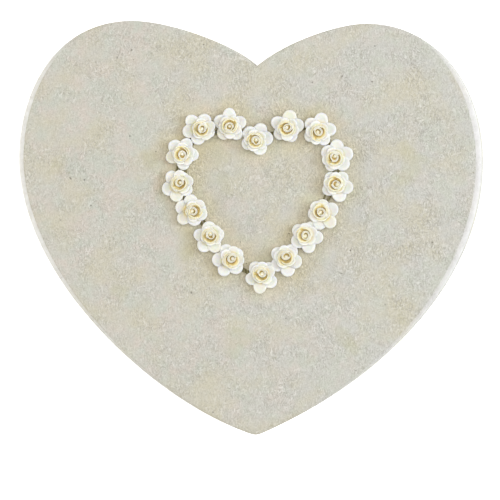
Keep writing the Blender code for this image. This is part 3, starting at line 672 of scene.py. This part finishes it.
def lid_top(centres):
    """The lid's board with the top sheet, whose hand-cut edge stops just short of the rounded edge.

    A warm shade is painted on the sheet round each rose's centre, standing in for the roses' shadows and
    the warm light their petals throw back.
    """
    bm = bmesh.new()
    clearance = 0.01
    seat = SHEET_LOW + clearance
    board = sweep(bm, [(PANEL_EDGE, SKIRT_TOP + 2 * clearance), (PANEL_EDGE, seat)], closed=False)
    fill(bm, board[0])
    section = [
        (SHEET_INSET, seat), (SHEET_INSET - 0.03, SHEET_LOW + 0.07), (SHEET_INSET + 0.03, LID_TOP - 0.04),
        (SHEET_INSET + 0.12, LID_TOP - 0.01), (SHEET_INSET + 0.6, LID_TOP),
    ]
    hand_cut = uneven(0.13, 90, 4.0) * SIDEWAYS[:, None]
    sheet = sweep(bm, section, closed=False, wobble=hand_cut)
    grid_faces(bm, (board[1], sheet[0]), True)
    fill(bm, sheet[-1], 1.6, sheet_lift)
    # A painted warm shade round each rose: full near it, fading out further off.
    rose_shade = bm.verts.layers.float.new("rose_shade")
    for vert in bm.verts:
        nearest = min((vert.co.xy - centre.xy).length for centre in centres) / MM
        vert[rose_shade] = clamped((ROSE_SHADE_END - nearest) / (ROSE_SHADE_END - ROSE_SHADE_FULL))
    return new_piece("lid_top", bm, [PAPER], "lid", ["lid_panel"], 50)


def lid_lining():
    """The flocked card inside the lid, with its lower edge rolled."""
    low, high = bottom_of("lid_lining"), top_of("lid_lining")
    bm = bmesh.new()
    inset = 5.0
    section = [(inset, high), (inset, low + 0.3), (inset + 0.1, low + 0.08), (inset + 0.4, low)]
    loops = sweep(bm, section, closed=False)
    fill(bm, loops[0])
    fill(bm, loops[-1], 3.0, lambda point: -0.04 * MM * ripple_at(point, 2.0, 60))
    return new_piece("lid_lining_card", bm, [FLOCK], "lid", ["lid_lining"])


def box_side():
    """The box's board wall, its strip of paper turned in over the rim and under the foot."""
    bm = bmesh.new()
    foot_r, rim_r = 0.7, 1.0
    section = [(BOX_INNER, 30.0), (BOX_INNER, foot_r)]
    section += arc((BOX_INNER - foot_r, foot_r), foot_r, 180, 270, 4)[1:]
    section += arc((BOX_OUTER + foot_r, foot_r), foot_r, -90, 0, 4)
    section += [(BOX_OUTER, 10.0), (BOX_OUTER, WALL_TOP - 8)]
    section += arc((BOX_OUTER + rim_r, WALL_TOP - rim_r), rim_r, 0, 90, 5)
    section += arc((BOX_INNER - rim_r, WALL_TOP - rim_r), rim_r, 90, 180, 5)
    sweep(bm, section, closed=True)
    return new_piece("box_side", bm, [WALL_PAPER], "box", ["side_wall"], 30)


def lower_board_ring():
    """The board liner that the floor rests on, with its edges a little worn."""
    low, high = bottom_of("lower_liner"), top_of("lower_liner")
    bm = bmesh.new()
    outer, inner, worn = LINER_OUTER, LINER_INNER, 0.25
    section = [
        (outer, high - worn), (outer + worn, high), (inner - worn, high), (inner, high - worn),
        (inner, low + worn), (inner - worn, low), (outer + worn, low), (outer, low + worn),
    ]
    sweep(bm, section, closed=True)
    return new_piece("lower_board_ring", bm, [BOARD], "box", ["lower_liner"], 50)


def tray():
    """The flocked card in the bottom of the tray, rolled at its edge and crowned a little."""
    low, high = bottom_of("tray_lining"), top_of("tray_lining")
    bm = bmesh.new()
    inset = 4.65
    section = [(inset + 0.1, low), (inset, low + 0.3), (inset, high - 0.5)]
    section += [(inset + 0.12, high - 0.2), (inset + 0.4, high - 0.06), (inset + 1.0, high - 0.03)]
    loops = sweep(bm, section, closed=False)
    fill(bm, loops[0])
    fill(bm, loops[-1], 2.6, lambda point: 0.05 * MM * ripple_at(point, 7.0, 70))
    return new_piece("tray_card", bm, [FLOCK], "box", ["tray_lining"])


# Roses


Layers = namedtuple("Layers", "tone edge outward")  # the mesh attributes that petal_material reads


def flat(angle, length=1.0):
    """A level vector at that angle."""
    return length * Vector((math.cos(angle), math.sin(angle), 0))


def petal(bm, layers, chance, angle, reach, half_width, base_z, rise, centre, least_tone):
    """One petal: a round end on a narrower foot, rising from the heart, with its edge curled down."""
    middle = 0.48 * reach
    half = reach - middle
    narrowing, flat_share = 0.35, 0.70
    rings, spokes = 7, 26
    ripple, phase = chance.uniform(0.03, 0.09), chance.uniform(0, 6.28)
    curl, cup = chance.uniform(0.08, 0.22), chance.uniform(0.08, 0.22)
    notch = chance.uniform(0.0, 0.05)
    rows = []
    for ring in range(rings + 1):
        share = ring / rings
        row = []
        for spoke in range(spokes if ring else 1):
            phi = 2 * math.pi * spoke / spokes
            x, y = math.cos(phi), math.sin(phi)
            along = middle + half * x * share * (1 - notch * max(0.0, x) ** 6)
            across = half_width * y * share * (1 - narrowing * max(0.0, -x * share))
            height = base_z + rise * (along / reach) ** 2 + cup * (across / half_width) ** 2
            height += ripple * math.sin(3 * phi + phase) * share**3
            height -= curl * (max(0.0, share - flat_share) / (1 - flat_share)) ** 2
            at = Vector((along, across, height))
            at.rotate(Matrix.Rotation(angle, 3, "Z"))
            vert = bm.verts.new((at + centre) * MM)
            vert[layers.tone] = clamped((WARM_R - at.xy.length) / WARM_FADE, least_tone)
            vert[layers.edge] = share
            row.append(vert)
        rows.append(row)
    fan(bm, rows[0][0], rows[1])
    grid_faces(bm, rows[1:], True)


def wound(bm, layers, across, up, start, end, at, tones):
    """A sheet wound from one angle to another.

    at gives the place for a share of the way along, a share of the way up and an angle. The tone starts at
    the first of tones and falls by the second of them.
    """
    rows = []
    for level in range(up + 1):
        share = level / up
        row = []
        for i in range(across + 1):
            s = i / across
            angle = start + (end - start) * s
            vert = bm.verts.new(at(s, share, angle) * MM)
            vert[layers.tone] = tones[0] - tones[1] * share**3
            vert[layers.edge] = 1.0
            vert[layers.outward] = flat(angle)
            row.append(vert)
        rows.append(row)
    grid_faces(bm, rows, False)


def wrapped_petal(bm, layers, chance, start, sweep_angle, low, lip_r, high, centre):
    """One petal wound round the heart, from its foot at low to its lip at high, and a little outwards."""
    lip, oval = chance.uniform(0.18, 0.30), chance.uniform(-0.12, 0.12)
    dip = chance.uniform(0.35, 0.6)
    straight = 0.78

    def at(s, share, angle):
        top = high - dip * abs(2 * s - 1) ** 2.6
        roll = max(0.0, share - straight) / (1 - straight)
        radius = WOUND_FOOT_R + (lip_r - WOUND_FOOT_R) * share**1.4 + 0.20 * s + oval * math.sin(2 * angle)
        height = low + (top - low) * share - 0.12 * roll**2
        return flat(angle, radius + lip * roll**2) + Vector((0, 0, height)) + centre * share

    # The wound petal is deepest at its foot: partly the paper's gold, partly painted shade down in the cup.
    wound(bm, layers, 18, 7, start, start + math.radians(sweep_angle), at, (0.86, 0.54))


def bud(bm, layers, chance, low, high, centre, slant):
    """The rolled heart of the rose: a strip wound inwards, and in it a low crown set off away from slant."""
    turns = chance.uniform(1.55, 1.9)
    start = chance.uniform(0, 2 * math.pi)
    hand = chance.choice((-1, 1))
    straight = 0.6

    def at(s, share, angle):
        roll = max(0.0, share - straight) / (1 - straight)
        radius = 1.24 - 0.56 * s + 0.17 * roll**2 + 0.09 * math.sin(2 * angle + start)
        top = high - 0.05 * s + 0.20 * math.sin(angle + start)
        return flat(angle, radius) + Vector((0, 0, low + (top - low) * share)) + centre

    # The strip is painted deep gold at its foot and the bud's floor olive-brown: painted shade in the hollow.
    wound(bm, layers, 48, 6, start, start + hand * 2 * math.pi * turns, at, (0.80, 0.54))
    disc(bm, layers, 1.15, high - 1.3, 0.0, centre, (1.0, 0.9))
    crown = chance.uniform(0.12, 0.30)
    crown_r = chance.uniform(0.50, 0.64)
    disc(bm, layers, crown_r, high - 0.35, -0.55, centre - 0.75 * slant, (crown, crown + 0.30))


def disc(bm, layers, radius, height, fall, centre, tones):
    """A round sheet that falls from its middle to its rim, and changes tone from one to the other."""
    rings, spokes = 5, 16
    rows = []
    for ring in range(rings + 1):
        share = ring / rings
        row = []
        for i in range(spokes if ring else 1):
            angle = 2 * math.pi * i / spokes
            reach = radius * share * (1 + 0.10 * math.sin(2 * angle + 40 * radius))
            at = flat(angle, reach) + Vector((0, 0, height + fall * share**3))
            vert = bm.verts.new((at + centre) * MM)
            vert[layers.tone] = tones[0] + (tones[1] - tones[0]) * share**2
            vert[layers.edge] = 1.0
            row.append(vert)
        rows.append(row)
    fan(bm, rows[0][0], rows[1])
    grid_faces(bm, rows[1:], True)


def calyx(bm, layers, centre):
    """The paper-wound foot under the petals, from its underside up. Returns its faces."""
    profile = [(0.0, 0.02), (1.0, 0.02), (1.1, 0.5), (1.5, 1.2), (1.7, 1.8), (0.0, 2.0)]
    top = profile[-1][1]
    sides = 14
    rows = []
    for radius, height in profile:
        row = []
        for i in range(sides if radius else 1):
            at = flat(2 * math.pi * i / sides, radius) + Vector((0, 0, height))
            vert = bm.verts.new((at + centre * (1 - height / top)) * MM)
            vert[layers.tone] = 0.9
            row.append(vert)
        rows.append(row)
    before = set(bm.faces)
    for i in range(sides):
        j = (i + 1) % sides
        bm.faces.new((rows[0][0], rows[1][j], rows[1][i]))
        bm.faces.new((rows[-1][0], rows[-2][i], rows[-2][j]))
    grid_faces(bm, rows[1:-1], True)
    return [face for face in bm.faces if face not in before]


def rose(index, centre, turn, foot, nod):
    """A paper rose: five flat petals, five above that rise on the foot's side, three wound ones and a bud."""
    chance = random.Random(400 + index)
    bm = bmesh.new()
    for attribute in ("tone", "edge"):
        bm.verts.layers.float.new(attribute)
    outward = bm.verts.layers.float_vector.new("outward")
    # Each new layer moves the ones before it, so those are looked up only now.
    layers = Layers(bm.verts.layers.float["tone"], bm.verts.layers.float["edge"], outward)
    size = chance.uniform(0.98, 1.03)
    turn = math.radians(turn)
    for i in range(5):
        angle = turn + math.radians(72 * i + chance.uniform(-6, 6))
        reach = OUTER_REACH * size * chance.uniform(0.95, 1.04)
        width = OUTER_WIDTH * chance.uniform(0.94, 1.06)
        cream = 0.16 if chance.random() < 0.1 else 0.0
        petal(bm, layers, chance, angle, reach, width, 1.45 + 0.05 * i, 0.45, foot, cream)
    for i in range(5):
        angle = turn + math.radians(36 + 72 * i + chance.uniform(-9, 9))
        near = foot.dot(flat(angle))
        reach = (UPPER_REACH - 0.75 * near) * size * chance.uniform(0.94, 1.06)
        width = (UPPER_WIDTH - 0.15 * near) * chance.uniform(0.94, 1.08)
        rise = 0.9 + 0.6 * max(0.0, near)
        petal(bm, layers, chance, angle, reach, width, 2.0 + 0.06 * i, rise, nod * 0.6, 0.0)
    first = chance.uniform(0, 2 * math.pi)
    slant = flat(chance.uniform(0, 2 * math.pi), 0.38)
    aside = flat(first, 0.30)
    for offset, sweep_angle, low, lip_r, high in WOUND_PETALS:
        wrapped_petal(bm, layers, chance, first + offset, sweep_angle, low, lip_r, high, nod - aside)
    bud(bm, layers, chance, 2.3, 4.35, nod + aside * 0.5, slant)
    for face in calyx(bm, layers, foot * 0.5):
        face.material_index = 1
    bmesh.ops.translate(bm, verts=bm.verts, vec=centre)
    name = f"rose_{index + 1:02d}"
    piece = new_piece(f"paper_{name}", bm, [PETALS, STEM], "lid", [name], 60)
    paper = piece.modifiers.new("paper", "SOLIDIFY")
    paper.thickness = PETAL_THICKNESS * MM
    paper.offset = 0
    return piece


def rose_centre(index):
    """Where the middle of a rose stands on the lid."""
    low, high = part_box(f"rose_{index + 1:02d}")
    return Vector(((low.x + high.x) / 2, (low.y + high.y) / 2, LID_TOP * MM))


def tube(bm, points, radius, sides=8):
    """A round wire through points, with closed ends."""
    rows = []
    for i, point in enumerate(points):
        along = (points[min(i + 1, len(points) - 1)] - points[max(i - 1, 0)]).normalized()
        side = along.cross(Vector((0, 0, 1))).normalized()
        up = side.cross(along)
        rows.append([
            bm.verts.new(point + radius * (math.cos(angle) * side + math.sin(angle) * up))
            for angle in (2 * math.pi * j / sides for j in range(sides))
        ])
    grid_faces(bm, rows, True)
    bm.faces.new(rows[0])
    bm.faces.new(rows[-1])


def stems(centres):
    """The wire tails of the roses, each bent on to lie under the next rose."""
    start, end, steps = 0.12, 0.88, 10  # the share of the way to the next rose that a wire covers
    chance = random.Random(77)
    bm = bmesh.new()
    for i, here in enumerate(centres):
        there = centres[(i + 1) % len(centres)]
        along = there - here
        across = Vector((-along.y, along.x, 0)).normalized()
        for _ in range(2):
            offset = chance.uniform(-1.5, 1.5) * MM
            bow = chance.uniform(-0.9, 0.9) * MM
            radius = chance.uniform(0.27, 0.36) * MM
            points = []
            for step in range(steps + 1):
                t = start + (end - start) * step / steps
                sag = math.sin(math.pi * t)
                point = here + along * t + across * (offset * (1 - t * 0.6) + bow * sag)
                points.append(point + Vector((0, 0, radius + (0.15 + 0.35 * (1 - sag)) * MM)))
            tube(bm, points, radius)
    return new_piece("rose_stems", bm, [STEM], "lid")


# Movement and key


def drum_pins():
    """The pins of the tune, set in rows opposite the comb's teeth."""
    low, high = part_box("music_cylinder")
    axis = Vector((0, (low.y + high.y) / 2, (low.z + high.z) / 2))
    radius = (high.z - low.z) / 2
    comb_low, comb_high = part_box("comb")
    teeth, beats = 18, 72
    tooth_middle = 0.42  # of the pitch, as a tooth has its slot on its right
    pitch = (comb_high.x - comb_low.x) / teeth
    pin_size = {"radius1": 0.2 * MM, "radius2": 0.14 * MM, "depth": 0.9 * MM}
    chance = random.Random(12)
    bm = bmesh.new()
    for tooth in range(teeth):
        x = comb_low.x + (tooth + tooth_middle) * pitch
        stand = Matrix.Translation((x, 0, radius + 0.15 * MM))
        for _ in range(chance.randint(5, 9)):
            angle = 2 * math.pi * chance.randint(0, beats - 1) / beats
            spin = Matrix.Rotation(angle, 4, "X")
            pin = bmesh.ops.create_cone(bm, cap_ends=True, segments=6, **pin_size)
            bmesh.ops.transform(bm, matrix=Matrix.Translation(axis) @ spin @ stand, verts=pin["verts"])
    return new_piece("drum_pins", bm, [STEEL], "drum")


def give_finishes():
    """Materials for the CAD nodes that stay, and rounded edges for those that show underneath."""
    finishes = {
        BOARD: ("floor_panel", "middle_liner", "tray_floor"),
        ZINC: ("bedplate", "governor_frame"),
        COMB_STEEL: ("comb",),
        SPRING_STEEL: ("mainspring", "click_spring"),
        STEEL: (
            "comb_screw_1", "comb_screw_2", "barrel_bridge", "bridge_screw_1", "bridge_screw_2",
            "bearing_left", "bearing_right", "bearing_screw_1", "bearing_screw_2", "governor_screw",
            "movement_screw_1", "movement_screw_2", "movement_screw_3", "winding_key", "winding_arbor",
            "spring_barrel", "barrel_cover", "cylinder_arbor",
        ),
        BRASS: ("music_cylinder", "cylinder_pinion", "fly_worm", "stop_lever"),
        NYLON: ("cylinder_gear", "intermediate_wheel", "fly_vane"),
        KNOB: ("stop_knob",),
    }
    for material, names in finishes.items():
        for name in names:
            data = NODES[name].data
            data.materials.clear()
            data.materials.append(material)
    for name in ("winding_key", "stop_knob", "movement_screw_1", "movement_screw_2", "movement_screw_3"):
        NODES[name].modifiers.new("joined", "WELD").merge_threshold = 0.01 * MM
        rounding = NODES[name].modifiers.new("eased edges", "BEVEL")
        rounding.width = 0.15 * MM
        rounding.segments = 2
        rounding.angle_limit = math.radians(40)
        rounding.harden_normals = True


# Stage


def area_light(name, at, target, size, power, colour=(1, 1, 1)):
    """A round softbox that faces the target."""
    data = bpy.data.lights.new(name, "AREA")
    data.shape = "DISK"
    data.size = size
    data.energy = power
    data.color = colour
    light = bpy.data.objects.new(name, data)
    light.location = at
    light.rotation_euler = (Vector(target) - Vector(at)).to_track_quat("-Z", "Y").to_euler()
    bpy.context.scene.collection.objects.link(light)


def stage():
    """A pale floor, a warm surround, and softboxes on both sides and overhead."""
    floor_material, tree, shader = new_material("pale_floor")
    feed(tree, shader, {"Base Color": (0.92, 0.92, 0.92, 1), "Roughness": 0.9})
    feed(tree, shader, {"Emission Color": (1, 1, 1, 1), "Emission Strength": 0.6})
    bm = bmesh.new()
    bmesh.ops.create_grid(bm, x_segments=1, y_segments=1, size=4.0)
    data = bpy.data.meshes.new("floor")
    bm.to_mesh(data)
    bm.free()
    floor = bpy.data.objects.new("floor", data)
    floor.location.z = -0.3 * MM
    data.materials.append(floor_material)
    bpy.context.scene.collection.objects.link(floor)

    world = bpy.data.worlds.new("studio")
    world.use_nodes = True
    background = world.node_tree.nodes["Background"]
    feed(world.node_tree, background, {"Color": (1.0, 0.96, 0.87, 1), "Strength": 0.28})
    bpy.context.scene.world = world
    middle = (0, 0, 0.05)
    area_light("right_softbox", (1.17, 0.16, 0.82), middle, 0.8, 10.4, (0.80, 0.88, 1.0))
    area_light("left_softbox", (-1.15, -0.10, 0.43), middle, 0.9, 5.4)
    area_light("right_low", (1.30, -0.05, 0.255), middle, 0.5, 1.3, (0.90, 0.95, 1.0))
    area_light("overhead", (0.15, 0.1, 1.2), middle, 0.9, 7.6, (1.0, 0.98, 0.96))
    bpy.context.scene.view_settings.view_transform = "Standard"


def camera():
    """A long lens above the lid, tipped a little so that the right flank of its side just shows."""
    distance, view_width, sensor_mm = 2.0, 0.1510, 36
    tip_back, tip_left = math.radians(-0.3), math.radians(3.7)
    target = Vector((0.0002, -0.0066, LID_TOP * MM))
    data = bpy.data.cameras.new("camera")
    data.sensor_width = sensor_mm
    data.lens = sensor_mm * distance / view_width
    data.clip_end = 10
    made = bpy.data.objects.new("camera", data)
    made.rotation_euler = Euler((tip_back, tip_left, 0))
    made.location = target + made.rotation_euler.to_matrix() @ Vector((0, 0, distance))
    bpy.context.scene.collection.objects.link(made)
    bpy.context.scene.camera = made


camera()
stage()
CENTRES = [rose_centre(i) for i in range(len(ROSES))]
lid_side()
lid_top(CENTRES)
lid_lining()
box_side()
lower_board_ring()
tray()
for i, (turn, foot, heart_at) in enumerate(ROSES):
    rose(i, CENTRES[i], turn, Vector((*foot, 0)), Vector((*heart_at, 0)))
stems(CENTRES)
drum_pins()
give_finishes()
